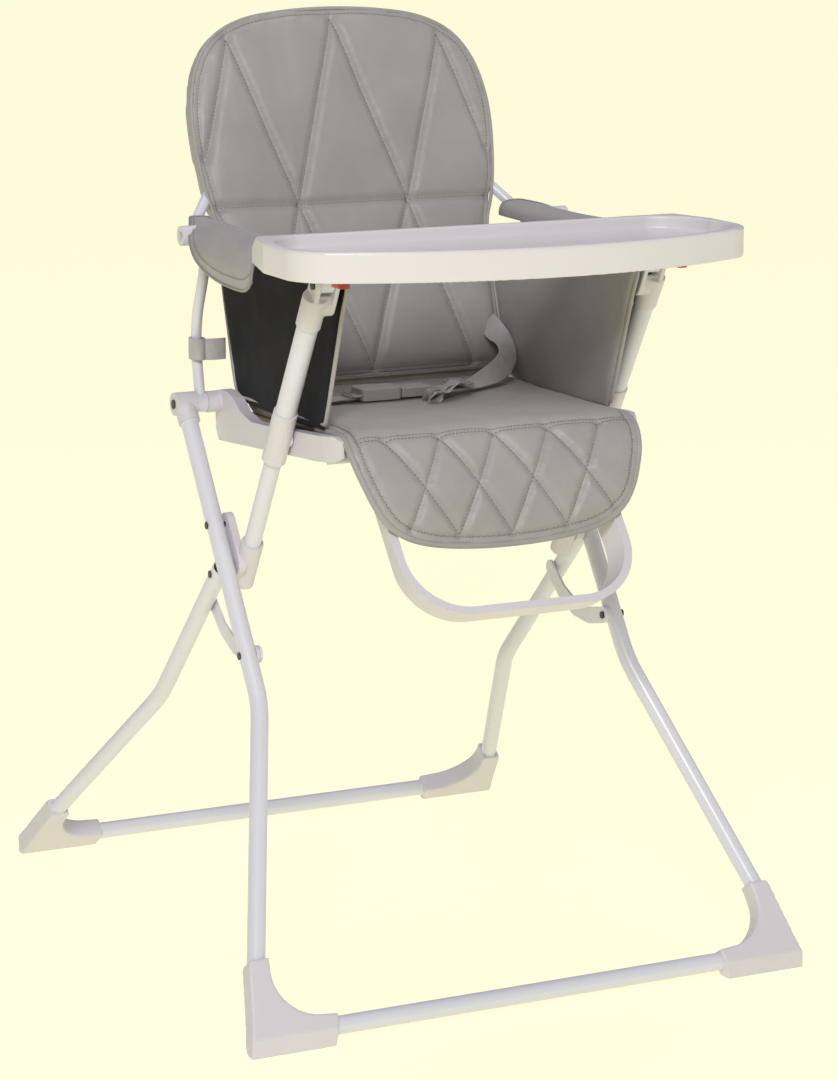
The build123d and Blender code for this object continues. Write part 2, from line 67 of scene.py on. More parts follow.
class Nodes:
    """Short way to add and wire shader nodes."""

    def __init__(self, name, colour, roughness, **sockets):
        self.material = bpy.data.materials.new(name)
        self.material.use_nodes = True
        self.tree = self.material.node_tree
        self.shader = self.tree.nodes["Principled BSDF"]
        self.shader.inputs["Base Color"].default_value = (*colour, 1)
        self.shader.inputs["Roughness"].default_value = roughness
        for socket, value in sockets.items():
            self.shader.inputs[socket.replace("_", " ")].default_value = value
        self.colour = colour
        self.roughness = roughness
        self.place = self.add("ShaderNodeTexCoord")
        self.height = None

    def add(self, kind, **values):
        node = self.tree.nodes.new(kind)
        for name, value in values.items():
            if hasattr(node, name):
                setattr(node, name, value)
            else:
                node.inputs[name.replace("_", " ")].default_value = value
        return node

    def link(self, source, target):
        self.tree.links.new(source, target)

    def noise(self, scale, detail):
        node = self.add("ShaderNodeTexNoise", Scale=scale, Detail=detail)
        self.link(self.place.outputs["Object"], node.inputs["Vector"])
        return node.outputs["Fac"]

    def cells(self, scale):
        node = self.add("ShaderNodeTexVoronoi", feature="SMOOTH_F1", Scale=scale)
        self.link(self.place.outputs["Object"], node.inputs["Vector"])
        return node.outputs["Distance"]

    def bands(self, scale, direction):
        node = self.add("ShaderNodeTexWave", bands_direction=direction, Scale=scale)
        self.link(self.place.outputs["UV"], node.inputs["Vector"])
        return node.outputs["Fac"]

    def spread(self, factor, low, high):
        """factor, which runs from about 0.3 to 0.7, as a value from low to high."""
        node = self.add("ShaderNodeMapRange")
        for name, value in (("From Min", 0.3), ("From Max", 0.7), ("To Min", low), ("To Max", high)):
            node.inputs[name].default_value = value
        self.link(factor, node.inputs["Value"])
        return node.outputs["Result"]

    def tint(self, factor, dark, light):
        """Colour varies from dark times to light times the base colour."""
        ramp = self.add("ShaderNodeValToRGB")
        for stop, place, share in zip(ramp.color_ramp.elements, (0.3, 0.7), (dark, light)):
            stop.position = place
            stop.color = (*[min(1, c * share) for c in self.colour], 1)
        self.link(factor, ramp.inputs["Fac"])
        self.link(ramp.outputs["Color"], self.shader.inputs["Base Color"])
        return ramp.outputs["Color"]

    def lighten_sharp_edges(self, colour, edge_colour):
        """Mixes edge_colour in where the surface turns sharply outwards."""
        shape = self.add("ShaderNodeNewGeometry")
        mask = self.add("ShaderNodeMapRange")
        for name, value in (("From Min", 0.54), ("From Max", 0.66), ("To Min", 0.0), ("To Max", 0.45)):
            mask.inputs[name].default_value = value
        self.link(shape.outputs["Pointiness"], mask.inputs["Value"])
        mix = self.add("ShaderNodeMix", data_type="RGBA")
        self.link(mask.outputs["Result"], mix.inputs["Factor"])
        self.link(colour, mix.inputs["A"])
        mix.inputs["B"].default_value = (*edge_colour, 1)
        self.link(mix.outputs["Result"], self.shader.inputs["Base Color"])

    def bump(self, factor, distance, strength=0.5):
        node = self.add("ShaderNodeBump", Strength=strength, Distance=distance)
        self.link(factor, node.inputs["Height"])
        if self.height is not None:
            self.link(self.height, node.inputs["Normal"])
        self.height = node.outputs["Normal"]
        self.link(self.height, self.shader.inputs["Normal"])

    def rough(self, factor, spread):
        result = self.spread(factor, self.roughness - spread, self.roughness + spread)
        self.link(result, self.shader.inputs["Roughness"])


def leather(name, colour):
    look = Nodes(name, colour, 0.46, Sheen_Weight=0.12, Sheen_Roughness=0.45, Specular_IOR_Level=0.42)
    look.tint(look.noise(14, 4), 0.93, 1.07)
    look.rough(look.noise(55, 4), 0.06)
    look.bump(look.noise(22, 2), 0.0012, 0.25)
    look.bump(look.cells(850), 0.00016, 0.45)
    look.bump(look.noise(2600, 2), 0.00006, 0.4)
    return look.material


def moulded(name, colour, roughness, grain=1400, coat=0.0, edges=True):
    look = Nodes(name, colour, roughness, Coat_Weight=coat, Coat_Roughness=0.2)
    tinted = look.tint(look.noise(9, 3), 0.985, 1.012)
    if edges:
        # a lighter colour is mixed in along sharp outward edges
        look.lighten_sharp_edges(tinted, [min(1, c * 1.08) for c in colour])
    look.rough(look.noise(30, 3), 0.04)
    look.bump(look.noise(grain, 2), 0.00006, 0.35)
    return look.material


def coated_tube(name, colour):
    look = Nodes(name, colour, 0.33, Coat_Weight=0.25, Coat_Roughness=0.25)
    look.tint(look.noise(7, 3), 0.985, 1.01)
    look.rough(look.noise(60, 3), 0.05)
    look.bump(look.noise(420, 3), 0.00004, 0.15)
    look.bump(look.noise(2200, 1), 0.00002, 0.2)
    return look.material


def metal(name, colour, roughness, metallic):
    look = Nodes(name, colour, roughness, Metallic=metallic)
    look.tint(look.noise(60, 4), 0.8, 1.1)
    look.rough(look.noise(300, 3), 0.08)
    look.bump(look.noise(900, 2), 0.00004, 0.4)
    return look.material


def webbing_look(name, colour):
    look = Nodes(name, colour, 0.55, Sheen_Weight=0.3, Sheen_Roughness=0.4)
    look.tint(look.noise(90, 4), 0.9, 1.08)
    look.bump(look.bands(0.35, "X"), 0.00035, 0.6)
    look.bump(look.bands(0.22, "Y"), 0.00025, 0.5)
    look.bump(look.noise(1800, 2), 0.0001, 0.4)
    return look.material


def lining_look(name, colour):
    look = Nodes(name, colour, 0.75, Specular_IOR_Level=0.25)
    look.tint(look.noise(25, 4), 0.75, 1.3)
    look.bump(look.cells(1100), 0.0002, 0.6)
    look.bump(look.noise(30, 2), 0.0015, 0.3)
    return look.material


def board_look(name, colour):
    look = Nodes(name, colour, 0.7)
    look.tint(look.noise(70, 6), 0.75, 1.15)
    look.bump(look.noise(500, 4), 0.0002, 0.5)
    return look.material


GREY = (0.342, 0.327, 0.322)
looks = {
    "white_tube": coated_tube("white_powder_coat", (0.68, 0.69, 0.76)),
    "white_plastic": moulded("white_moulded_plastic", (0.66, 0.63, 0.675), 0.42),
    "tray_plastic": moulded("tray_moulded_plastic", (0.68, 0.655, 0.668), 0.34, 700, 0.15, edges=False),
    "upholstery": leather("grey_leatherette", GREY),
    "webbing": webbing_look("grey_webbing", (0.47, 0.45, 0.455)),
    "steel": metal("black_screw_steel", (0.05, 0.05, 0.055), 0.35, 0.9),
    "red_plastic": moulded("red_button_plastic", (0.40, 0.012, 0.018), 0.3, 900, 0.2),
    "grey_plastic": moulded("grey_buckle_plastic", (0.41, 0.393, 0.39), 0.31, 1200),
    "board": board_look("fibre_board", (0.33, 0.24, 0.15)),
}
piping_leather = leather("piping_leatherette", (0.345, 0.33, 0.323))
binding_leather = leather("binding_leatherette", (0.24, 0.228, 0.222))
lining = lining_look("black_lining", (0.011, 0.011, 0.017))
thread = webbing_look("grey_thread", (0.17, 0.162, 0.156))

for name, node in nodes.items():
    node.data.materials.clear()
    node.data.materials.append(looks[node_slot[name]])


# ---------------------------------------------------------------- mesh helpers


def add_mesh(name, vertices, faces, *materials, smooth=True):
    mesh = bpy.data.meshes.new(name)
    mesh.from_pydata([tuple(v) for v in vertices], [], [tuple(f) for f in faces])
    mesh.validate()
    for look in materials:
        mesh.materials.append(look)
    piece = bpy.data.objects.new(name, mesh)
    scene.collection.objects.link(piece)
    if smooth:
        mesh.shade_smooth()
    return piece


def coordinates(piece):
    values = np.empty(len(piece.data.vertices) * 3, np.float64)
    piece.data.vertices.foreach_get("co", values)
    return values.reshape(-1, 3)


def set_coordinates(piece, values):
    piece.data.vertices.foreach_set("co", np.ascontiguousarray(values, np.float32).ravel())
    piece.data.update()


def baked(piece):
    """Replaces the piece's mesh by the result of its modifiers."""
    graph = bpy.context.evaluated_depsgraph_get()
    graph.update()
    mesh = bpy.data.meshes.new_from_object(piece.evaluated_get(graph), depsgraph=graph)
    piece.modifiers.clear()
    piece.data = mesh
    mesh.shade_smooth()
    return piece


def with_modifier(piece, kind, **values):
    modifier = piece.modifiers.new(kind.lower(), kind)
    for name, value in values.items():
        setattr(modifier, name, value)
    return baked(piece)


def placed(piece, body, slot_name, *replaced):
    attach(piece, body)
    if replaced:
        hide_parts(*replaced)
    return piece


def smooth_path(points, step, closed=False):
    """Points spaced by step along a Catmull-Rom curve through the given points."""
    given = [np.array(p, float) for p in points]
    if closed:
        given = [given[-1], *given, given[0], given[1]]
    else:
        given = [2 * given[0] - given[1], *given, 2 * given[-1] - given[-2]]
    dense = []
    for a, b, c, d in zip(given, given[1:], given[2:], given[3:]):
        count = max(4, int(np.linalg.norm(c - b) / step * 3))
        for t in np.linspace(0, 1, count, endpoint=False):
            dense.append(0.5 * ((2 * b) + (c - a) * t + (2 * a - 5 * b + 4 * c - d) * t * t
                                + (3 * b - a - 3 * c + d) * t ** 3))
    if not closed:
        dense.append(given[-2])
    dense = np.array(dense + ([dense[0]] if closed else []))
    along = np.concatenate([[0], np.cumsum(np.linalg.norm(np.diff(dense, axis=0), axis=1))])
    count = max(3, int(round(along[-1] / step)) + 1)
    wanted = np.linspace(0, along[-1], count)
    result = np.stack([np.interp(wanted, along, dense[:, i]) for i in range(dense.shape[1])], 1)
    return result[:-1] if closed else result


def inset(path, distance):
    """A closed flat path moved inwards."""
    before, after = np.roll(path, 1, 0), np.roll(path, -1, 0)
    run = after - before
    run /= np.linalg.norm(run, axis=1)[:, None]
    area = np.sum(path[:, 0] * after[:, 1] - after[:, 0] * path[:, 1])
    side = 1 if area > 0 else -1
    return path + side * distance * np.stack([-run[:, 1], run[:, 0]], 1)


def tube(name, path, radius, look, closed=False, sides=10):
    """A round cord of mesh along 3-D points in metres."""
    path = np.array(path, float)
    count = len(path)
    if closed:
        run = np.roll(path, -1, 0) - np.roll(path, 1, 0)
    else:
        run = np.gradient(path, axis=0)
    run /= np.linalg.norm(run, axis=1)[:, None]
    side = np.cross(run[0], (0.31, 0.52, 0.79))
    vertices = []
    for centre, direction in zip(path, run):
        side = side - direction * np.dot(side, direction)
        side /= np.linalg.norm(side)
        other = np.cross(direction, side)
        for k in range(sides):
            angle = 2 * math.pi * k / sides
            vertices.append(centre + radius * (math.cos(angle) * side + math.sin(angle) * other))
    faces = []
    for i in range(count if closed else count - 1):
        a, b = i * sides, (i + 1) % count * sides
        for k in range(sides):
            n = (k + 1) % sides
            faces.append((a + k, a + n, b + n, b + k))
    if not closed:
        faces.append(tuple(range(sides))[::-1])
        faces.append(tuple((count - 1) * sides + k for k in range(sides)))
    return add_mesh(name, vertices, faces, look)


THREAD_RADIUS = 0.00038
GRAIN_SIDES = 6
# Place along a grain of thread, from 0 to 1, and its thickness there.
GRAIN_RINGS = ((0.0, 0.35), (0.2, 0.95), (0.8, 0.95), (1.0, 0.35))


def stitches(name, runs):
    """Small thread grains: runs is a list of (start, end, normal) arrays in metres."""
    vertices, faces = [], []
    for start, end, normal in runs:
        axis = end - start
        length = np.linalg.norm(axis)
        if length < 1e-6:
            continue
        axis = axis / length
        side = np.cross(axis, normal)
        side /= max(np.linalg.norm(side), 1e-9)
        up = np.cross(side, axis)
        base = len(vertices)
        for share, size in GRAIN_RINGS:
            lift = THREAD_RADIUS * 0.9 * math.sin(math.pi * share)
            centre = start + axis * length * share + up * lift
            for k in range(GRAIN_SIDES):
                angle = math.pi / 3 * k
                outward = math.cos(angle) * side + math.sin(angle) * up
                vertices.append(centre + THREAD_RADIUS * size * outward)
        for ring in range(len(GRAIN_RINGS) - 1):
            a = base + ring * GRAIN_SIDES
            b = a + GRAIN_SIDES
            for k in range(GRAIN_SIDES):
                n = (k + 1) % GRAIN_SIDES
                faces.append((a + k, a + n, b + n, b + k))
        last = base + (len(GRAIN_RINGS) - 1) * GRAIN_SIDES
        faces.append(tuple(base + k for k in range(GRAIN_SIDES))[::-1])
        faces.append(tuple(last + k for k in range(GRAIN_SIDES)))
    return add_mesh(name, vertices, faces, thread)


# ---------------------------------------------------------------- padded pieces


def pad_blank(name, outline, low, high, voxel):
    """A closed flat pad in its own u, v, w millimetres, remeshed evenly, in metres."""
    count = len(outline)
    vertices = [(u * MM, v * MM, low * MM) for u, v in outline]
    vertices += [(u * MM, v * MM, high * MM) for u, v in outline]
    faces = [tuple(range(count))[::-1], tuple(range(count, 2 * count))]
    faces += [(i, (i + 1) % count, count + (i + 1) % count, count + i) for i in range(count)]
    piece = add_mesh(name, vertices, faces)
    with_modifier(piece, "REMESH", mode="VOXEL", voxel_size=voxel * MM, adaptivity=0)
    return with_modifier(piece, "SMOOTH", factor=0.5, iterations=3)


PUFF_FRAMES = 20


def puff(piece, pressure, cap):
    """Blows the closed piece up as cloth; no point ends further than cap from its start."""
    rest = coordinates(piece)
    cloth = piece.modifiers.new("puff", "CLOTH")
    cloth.settings.use_pressure = True
    cloth.settings.uniform_pressure_force = pressure
    cloth.settings.effector_weights.gravity = 0
    cloth.settings.quality = 5
    cloth.settings.tension_stiffness = 12
    cloth.settings.compression_stiffness = 12
    cloth.settings.bending_stiffness = 0.6
    for number in range(1, PUFF_FRAMES + 1):
        scene.frame_set(number)
    baked(piece)
    moved = coordinates(piece) - rest
    length = np.linalg.norm(moved, axis=1)[:, None] + 1e-9
    limit = cap * MM
    blown = rest + moved / length * limit * np.tanh(length / limit)
    for axis in (0, 1):
        blown[:, axis] -= blown[:, axis].min()
        blown[:, axis] *= np.ptp(rest[:, axis]) / blown[:, axis].max()
        blown[:, axis] += rest[:, axis].min()
    set_coordinates(piece, blown)
    scene.frame_set(1)
    return with_modifier(piece, "SUBSURF", levels=1)


def seam_distance(flat, seams):
    """Distance from each flat point to the nearest of the seam segments, and the place along it."""
    best = np.full(len(flat), 1e9)
    along = np.zeros(len(flat))
    for start, end in seams:
        start, end = np.array(start, float), np.array(end, float)
        run = end - start
        length = np.linalg.norm(run)
        t = np.clip(((flat - start) @ run) / length ** 2, 0, 1)
        distance = np.linalg.norm(flat - (start + t[:, None] * run), axis=1)
        nearer = distance < best
        best[nearer] = distance[nearer]
        along[nearer] = (t * length)[nearer]
    return best, along


def path_segments(path, closed=False):
    ends = list(path[1:]) + ([path[0]] if closed else [])
    return list(zip(path, ends))


def carve(piece, seams, depth, width, middle, pucker=0.0, lip=0.0):
    """Sinks sewn channels, with stuffed lips, into the side of the pad that faces w above middle."""
    co = coordinates(piece) / MM
    distance, along = seam_distance(co[:, :2], seams)
    facing = np.clip((co[:, 2] - middle) / 2.0, 0, 1)
    drop = depth * np.exp(-(distance / width) ** 1.25) - lip * np.exp(-((distance - 8.5) / 4.0) ** 2)
    if pucker:
        wave = np.sin(along * 0.72) * np.sin(along * 0.23 + 1.0)
        drop += pucker * wave * np.exp(-((distance - 4.0) / 4.0) ** 2)
    co[:, 2] -= drop * facing
    set_coordinates(piece, co * MM)


def ripple(piece, size, wavelength, seed):
    """Gentle unevenness of stuffed fabric along w."""
    co = coordinates(piece)
    offset = Vector((seed, seed * 0.7, seed * 1.3))
    lift = [noise.noise(Vector(p) / (wavelength * MM) + offset) for p in co]
    co[:, 2] += np.array(lift) * size * MM
    set_coordinates(piece, co)


def surface_finder(piece):
    """Height w of the pad's top over a flat point, in mm."""
    tree = BVHTree.FromObject(piece, bpy.context.evaluated_depsgraph_get())

    def height(u, v):
        hit = tree.ray_cast(Vector((u * MM, v * MM, 0.2)), Vector((0, 0, -1)))
        return hit[0].z / MM if hit[0] is not None else None

    return height


def seam_stitches(height, bend, path, pitch=4.2, share=0.68, lift=0.15, across=0.0):
    """Runs of thread along a flat path, laid on the pad and bent with it."""
    path = smooth_path(path, pitch) if len(path) > 2 else np.linspace(
        path[0], path[-1], max(2, int(np.linalg.norm(np.subtract(path[-1], path[0])) / pitch)))
    runs = []
    for number, (a, b) in enumerate(zip(path[:-1], path[1:])):
        a, b = np.array(a, float), np.array(b, float)
        gap = (b - a) * (1 - share) / 2
        a, b = a + gap, b - gap
        if across:
            side = np.array([-(b - a)[1], (b - a)[0]])
            side = side / np.linalg.norm(side) * across * (1 if number % 2 else -1)
            a, b = a - side, b + side
        wa, wb = height(*a), height(*b)
        if wa is None or wb is None or abs(wa - wb) > 4:
            continue
        ends = bend(np.array([[*a, wa + lift], [*b, wb + lift], [*a, wa + lift + 1]]))
        runs.append((ends[0], ends[1], (ends[2] - ends[0]) / MM))
    return runs


def mirrored_outline(right_half):
    """A closed outline from the points of its right half, bottom to top."""
    left = [(-x, y) for x, y in right_half[::-1] if x > 0]
    return [*right_half, *left]


def bend_piece(piece, bend):
    set_coordinates(piece, bend(coordinates(piece) / MM))


def paint_sides(piece, test, first, second):
    """Gives each face the first look where test(normal, centre) is true, else the second."""
    piece.data.materials.clear()
    piece.data.materials.append(first)
    piece.data.materials.append(second)
    for face in piece.data.polygons:
        face.material_index = 0 if test(face.normal, face.center) else 1


# ---------------------------------------------------------------- back cushion

RECLINE = math.radians(17)
BACK_ORIGIN = np.array([0.0, 11.0 + SHIFT, 622.0])
BACK_UP = np.array([0.0, math.sin(RECLINE), math.cos(RECLINE)])
BACK_OUT = np.array([0.0, -math.cos(RECLINE), math.sin(RECLINE)])


def bend_back(flat):
    """Back pad's u, v, w in mm to the frame in metres; the pad hugs the sitter a little."""
    u, v, w = flat.T
    hug = 5.0 * (u / 187.0) ** 2
    result = BACK_ORIGIN + np.outer(v, BACK_UP) + np.outer(w + hug - 2.0, BACK_OUT)
    result[:, 0] += u
    return result * MM


back_outline = smooth_path(
    mirrored_outline([
        (0, 5), (120, 5), (160, 7), (165, 30), (165, 120), (166, 172), (175, 203), (182, 240),
        (186, 290), (183, 332), (171, 371), (148, 401), (111, 420), (60, 429), (0, 432),
    ]), 6, closed=True)
back_pad = pad_blank("back_cushion", back_outline, -20.0, 5.5, 4.6)
puff(back_pad, 5.0, 6.0)
APEX_X, APEX_V, CROWN_V, CROSS_X, CROSS_V, FOOT_X, FOOT_V = 132, 398, 420, 68, 205, 126, 12
back_zigzag = [
    [(-APEX_X, APEX_V), (-CROSS_X, CROSS_V)], [(-CROSS_X, CROSS_V), (0, CROWN_V)],
    [(0, CROWN_V), (CROSS_X, CROSS_V)], [(CROSS_X, CROSS_V), (APEX_X, APEX_V)],
    [(-APEX_X, APEX_V), (-174, 262)], [(APEX_X, APEX_V), (174, 262)],
    [(-CROSS_X, CROSS_V), (-FOOT_X, FOOT_V)], [(-CROSS_X, CROSS_V), (0, FOOT_V)],
    [(CROSS_X, CROSS_V), (0, FOOT_V)], [(CROSS_X, CROSS_V), (FOOT_X, FOOT_V)],
]
back_cross_seam = [(-178, CROSS_V), (178, CROSS_V)]
back_edge_seam = inset(back_outline, 7.0)
ripple(back_pad, 1.6, 70, 3.1)
ripple(back_pad, 0.5, 18, 8.4)
carve(back_pad, back_zigzag, 5.0, 4.6, -4, 0.4, 0.55)
carve(back_pad, back_zigzag, 3.4, 17.0, -4)
carve(back_pad, [back_cross_seam], 4.8, 5.0, -4, 0.45, 0.4)
carve(back_pad, [back_cross_seam], 2.0, 15.0, -4)
carve(back_pad, path_segments(back_edge_seam, True), 2.6, 2.6, -4)
back_height = surface_finder(back_pad)
back_runs = []
for seam in [*back_zigzag, back_cross_seam]:
    back_runs += seam_stitches(back_height, bend_back, seam)
back_runs += seam_stitches(back_height, bend_back, np.vstack([back_edge_seam, back_edge_seam[:1]]))
bend_piece(back_pad, bend_back)
paint_sides(
    back_pad,
    lambda normal, centre: normal.dot(Vector(BACK_OUT)) > -0.8,
    looks["upholstery"], lining,
)
placed(back_pad, "back", "upholstery", "back_pad")
placed(stitches("back_cushion_stitches", back_runs), "back", "upholstery")

skirt_outline = smooth_path([(-157, -13), (0, -13), (157, -13), (164, -8), (164, 12), (157, 18), (0, 18),
                             (-157, 18), (-164, 12), (-164, -8)], 6, closed=True)
skirt = pad_blank("back_cushion_skirt", skirt_outline, -13.0, -6.0, 4.0)
puff(skirt, 2.0, 1.0)
ripple(skirt, 1.2, 40, 6.1)
bend_piece(skirt, bend_back)
skirt.data.materials.append(looks["upholstery"])
placed(skirt, "back", "upholstery")

back_piping_path = bend_back(np.array([[u, v, 1.6] for u, v in inset(back_outline, 0.4)]))
placed(tube("back_cushion_piping", back_piping_path, 0.0021, looks["upholstery"], closed=True),
       "back", "upholstery")

# ---------------------------------------------------------------- seat cover with calf pad

SEAT_PROFILE = [
    (15, 616.5), (5, 618.5), (-8, 619.5), (-60, 619.0), (-150, 620.0), (-235, 621.5), (-266, 621.5), (-284, 618.5),
    (-300, 608.5), (-315, 587), (-326, 560), (-333, 535), (-337.5, 512), (-339.5, 498), (-341, 485),
]
seat_curve = smooth_path(SEAT_PROFILE, 2.0)
seat_along = np.concatenate([[0], np.cumsum(np.linalg.norm(np.diff(seat_curve, axis=0), axis=1))])
seat_along -= np.interp(276.4, -seat_curve[:, 0], seat_along)
seat_run = np.gradient(seat_curve, axis=0)
seat_run /= np.linalg.norm(seat_run, axis=1)[:, None]
SEAT_REAR_V = seat_along[0]


def bend_seat(flat):
    """Seat cover's u, v, w in mm to the frame in metres: v runs forwards, then down the calf pad."""
    u, v, w = flat.T
    y = np.interp(v, seat_along, seat_curve[:, 0])
    z = np.interp(v, seat_along, seat_curve[:, 1])
    run_y = np.interp(v, seat_along, seat_run[:, 0])
    run_z = np.interp(v, seat_along, seat_run[:, 1])
    w = np.where(w < -6, w - 7.0 * np.clip(-v / 200.0, 0, 1) * np.clip((280.0 + v) / 20.0, 0, 1), w)
    return np.stack([u, y + w * run_z + SHIFT, z - w * run_y], 1) * MM


seat_outline = smooth_path(
    mirrored_outline([
        (0, SEAT_REAR_V + 3), (120, SEAT_REAR_V + 3), (160, SEAT_REAR_V + 5), (164, -200), (164, -90),
        (165, -40), (168, -5), (169, 25), (166, 50), (159, 74), (150, 96), (137, 115), (116, 129),
        (86, 138), (45, 143), (0, 144.5),
    ]), 5, closed=True)
seat_cover = pad_blank("seat_cover", seat_outline, -12.0, -2.5, 4.2)
puff(seat_cover, 4.0, 3.6)
TOP_V, BOTTOM_V = 20.0, 131.0
calf_top = [-130, -66, -2, 62, 124]
calf_bottom = [-116, -60, 2, 68, 126]
calf_low = [121, 131, 133, 130, 116]
calf_lines = []
for k in range(4):
    calf_lines.append([(calf_top[k], TOP_V), (calf_bottom[k + 1], calf_low[k + 1])])
    calf_lines.append([(calf_top[k + 1], TOP_V), (calf_bottom[k], calf_low[k])])
border = inset(seat_outline, 9.0)
border_front = np.array([p for p in border if p[1] > -70])
start = int(np.argmax(np.linalg.norm(np.diff(border_front, axis=0), axis=1)))
if np.linalg.norm(border_front[start + 1] - border_front[start]) > 30:
    border_front = np.roll(border_front, -(start + 1), axis=0)
top_seams = [[(-158, TOP_V), (158, TOP_V - 1)], [(-161, TOP_V - 5), (161, TOP_V - 6)]]
ripple(seat_cover, 1.3, 60, 5.7)
ripple(seat_cover, 0.45, 16, 2.2)
carve(seat_cover, calf_lines, 4.2, 4.0, -8, 0.35, 0.45)
carve(seat_cover, calf_lines, 2.6, 12.0, -8)
carve(seat_cover, top_seams, 2.2, 2.2, -8, 0.25)
carve(seat_cover, path_segments(border_front), 2.6, 2.4, -8)
seat_height = surface_finder(seat_cover)
seat_runs = []
for seam in [*calf_lines, *top_seams]:
    seat_runs += seam_stitches(seat_height, bend_seat, seam)
seat_runs += seam_stitches(seat_height, bend_seat, border_front[::-1][1:-1], 3.6, 0.7, 0.2, 0.9)
bend_piece(seat_cover, bend_seat)
placed(seat_cover, "seat", "upholstery", "seat_cushion", "calf_pad")
seat_cover.data.materials.append(looks["upholstery"])
placed(stitches("seat_cover_stitches", seat_runs), "seat", "upholstery")

binding_path = bend_seat(np.array([[u, v, -7.0] for u, v in inset(seat_outline, -0.6) if v > -80]))
gap = int(np.argmax(np.linalg.norm(np.diff(binding_path, axis=0), axis=1)))
if np.linalg.norm(binding_path[gap + 1] - binding_path[gap]) > 0.03:
    binding_path = np.roll(binding_path, -(gap + 1), axis=0)
placed(tube("seat_cover_binding", binding_path, 0.0036, looks["upholstery"]), "seat", "upholstery")

# ---------------------------------------------------------------- side panels

PANEL_OUTLINE = [
    (-24, 609), (-120, 610), (-224, 614), (-238, 626), (-262, 690), (-280, 740), (-293, 780),
    (-250, 784), (-140, 784), (54, 784), (58, 776), (45, 730), (31, 685), (17, 640), (4, 618),
]


def side_panel(side, name):
    outline = smooth_path(PANEL_OUTLINE, 6, closed=True)
    piece = pad_blank("side_panel_cloth_" + name, outline, 166.8, 172.2, 4.0)
    puff(piece, 2.0, 1.5)
    ripple(piece, 1.8, 70, 4.0 + side)
    ripple(piece, 0.5, 22, 9.0)

    def bend(flat):
        y, z, x = flat.T
        return np.stack([side * x, y + SHIFT, z], 1) * MM

    bend_piece(piece, bend)
    if side < 0:
        piece.data.flip_normals()
    paint_sides(piece, lambda normal, centre: normal.x * side < 0.2, looks["upholstery"], lining)
    placed(piece, "seat", "upholstery", "side_panel_" + name)
    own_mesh(piece)
    edge = np.array([[y, max(z, 617.5 - 0.02 * y), 170.6] for y, z in inset(outline, 0.2)])
    cord = tube("side_panel_piping_" + name, bend(edge), 0.0024, piping_leather, closed=True)
    placed(cord, "seat", "upholstery")
    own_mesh(cord)


side_panel(1, "right")
side_panel(-1, "left")

# ---------------------------------------------------------------- armrest flaps

FLAP_PROFILE = [
    (179, 799), (180, 806), (185, 811.5), (196, 813.5), (208, 813.5), (221, 810.5), (231, 803),
    (237, 793), (240, 780), (240.5, 768), (239, 757),
]
FLAP_FRONT, FLAP_REAR = -201.0, 50.0
# How far down the profile the cloth reaches, from its front (0) to its rear (1).
FLAP_HEM = [(0, 0.85), (0.05, 0.93), (0.13, 0.963), (0.33, 0.95), (0.48, 0.895), (0.62, 0.79), (0.755, 0.60),
            (0.87, 0.46), (1.0, 0.34)]
FLAP_THICK = 2.0
FLAP_COLUMNS = 76
TOP_STITCH_ROW = 2


def flap(side, name):
    profile = smooth_path(FLAP_PROFILE, 3.0)
    hem_line = smooth_path(FLAP_HEM, 0.02)
    rows = len(profile)
    columns = FLAP_COLUMNS
    vertices, texture = [], []
    for j in range(columns):
        t = j / (columns - 1)
        y = FLAP_FRONT + (FLAP_REAR - FLAP_FRONT) * t
        hem = np.interp(t, hem_line[:, 0], hem_line[:, 1])
        for i in range(rows):
            s = i / (rows - 1) * hem
            x, z = (np.interp(s * (rows - 1), range(rows), profile[:, k]) for k in (0, 1))
            hang = max(0.0, s - 0.55) / 0.45
            crease = noise.noise(Vector((s * 5.0, t * 2.2, 3.0 * side)))
            fold = math.sin(9.0 * (s - 0.35 * t) + 4.0 * t) * 0.6
            x += hang * (1.6 * crease + fold) - 1.6 * hang * t
            z += 0.8 * crease * (1 - hang) - 3.5 * math.sin(math.pi * t) * (1 - hang) * 0.6
            lean = 10.0 * hang * (0.5 - t)
            vertices.append(point(side * x, y - lean, z))
            texture.append((s, t))
    faces = []
    for j in range(columns - 1):
        for i in range(rows - 1):
            a = j * rows + i
            quad = (a, a + 1, a + rows + 1, a + rows)
            faces.append(quad if side > 0 else quad[::-1])
    piece = add_mesh("armrest_cover_" + name, vertices, faces, looks["upholstery"], lining)
    sheet_vertices = np.array(vertices)
    with_modifier(piece, "SOLIDIFY", thickness=FLAP_THICK * MM, offset=-1, use_rim=True,
                  material_offset=1, material_offset_rim=0)
    with_modifier(piece, "SUBSURF", levels=1)
    placed(piece, "armrests", "upholstery", "armrest_flap_" + name)
    grid = sheet_vertices.reshape(columns, rows, 3)
    ring = np.vstack([
        grid[0, :, :], grid[1:, -1, :], grid[-1, -2::-1, :], grid[-2:0:-1, 0, :],
    ])
    middle = ring + np.array([-side * 0.0006, 0, -0.0004])
    cord = tube("armrest_cover_binding_" + name, middle, 0.0019, binding_leather, closed=True, sides=8)
    placed(cord, "armrests", "upholstery")
    runs = []
    hem_row = rows - 5
    for j in range(1, columns - 2):
        for row in (hem_row, TOP_STITCH_ROW):
            a, b = grid[j, row], grid[j + 1, row]
            normal = np.cross(grid[j, row + 1] - a, b - a) * side
            normal /= np.linalg.norm(normal)
            outward = normal[0] * side + (normal[2] if row == TOP_STITCH_ROW else 0)
            normal = normal if outward > 0 else -normal
            lift = normal * 0.0004
            runs.append((a + (b - a) * 0.15 + lift, b - (b - a) * 0.15 + lift, normal))
    thread_piece = placed(stitches("armrest_cover_stitches_" + name, runs), "armrests", "upholstery")


flap(1, "right")
flap(-1, "left")

# ---------------------------------------------------------------- straps


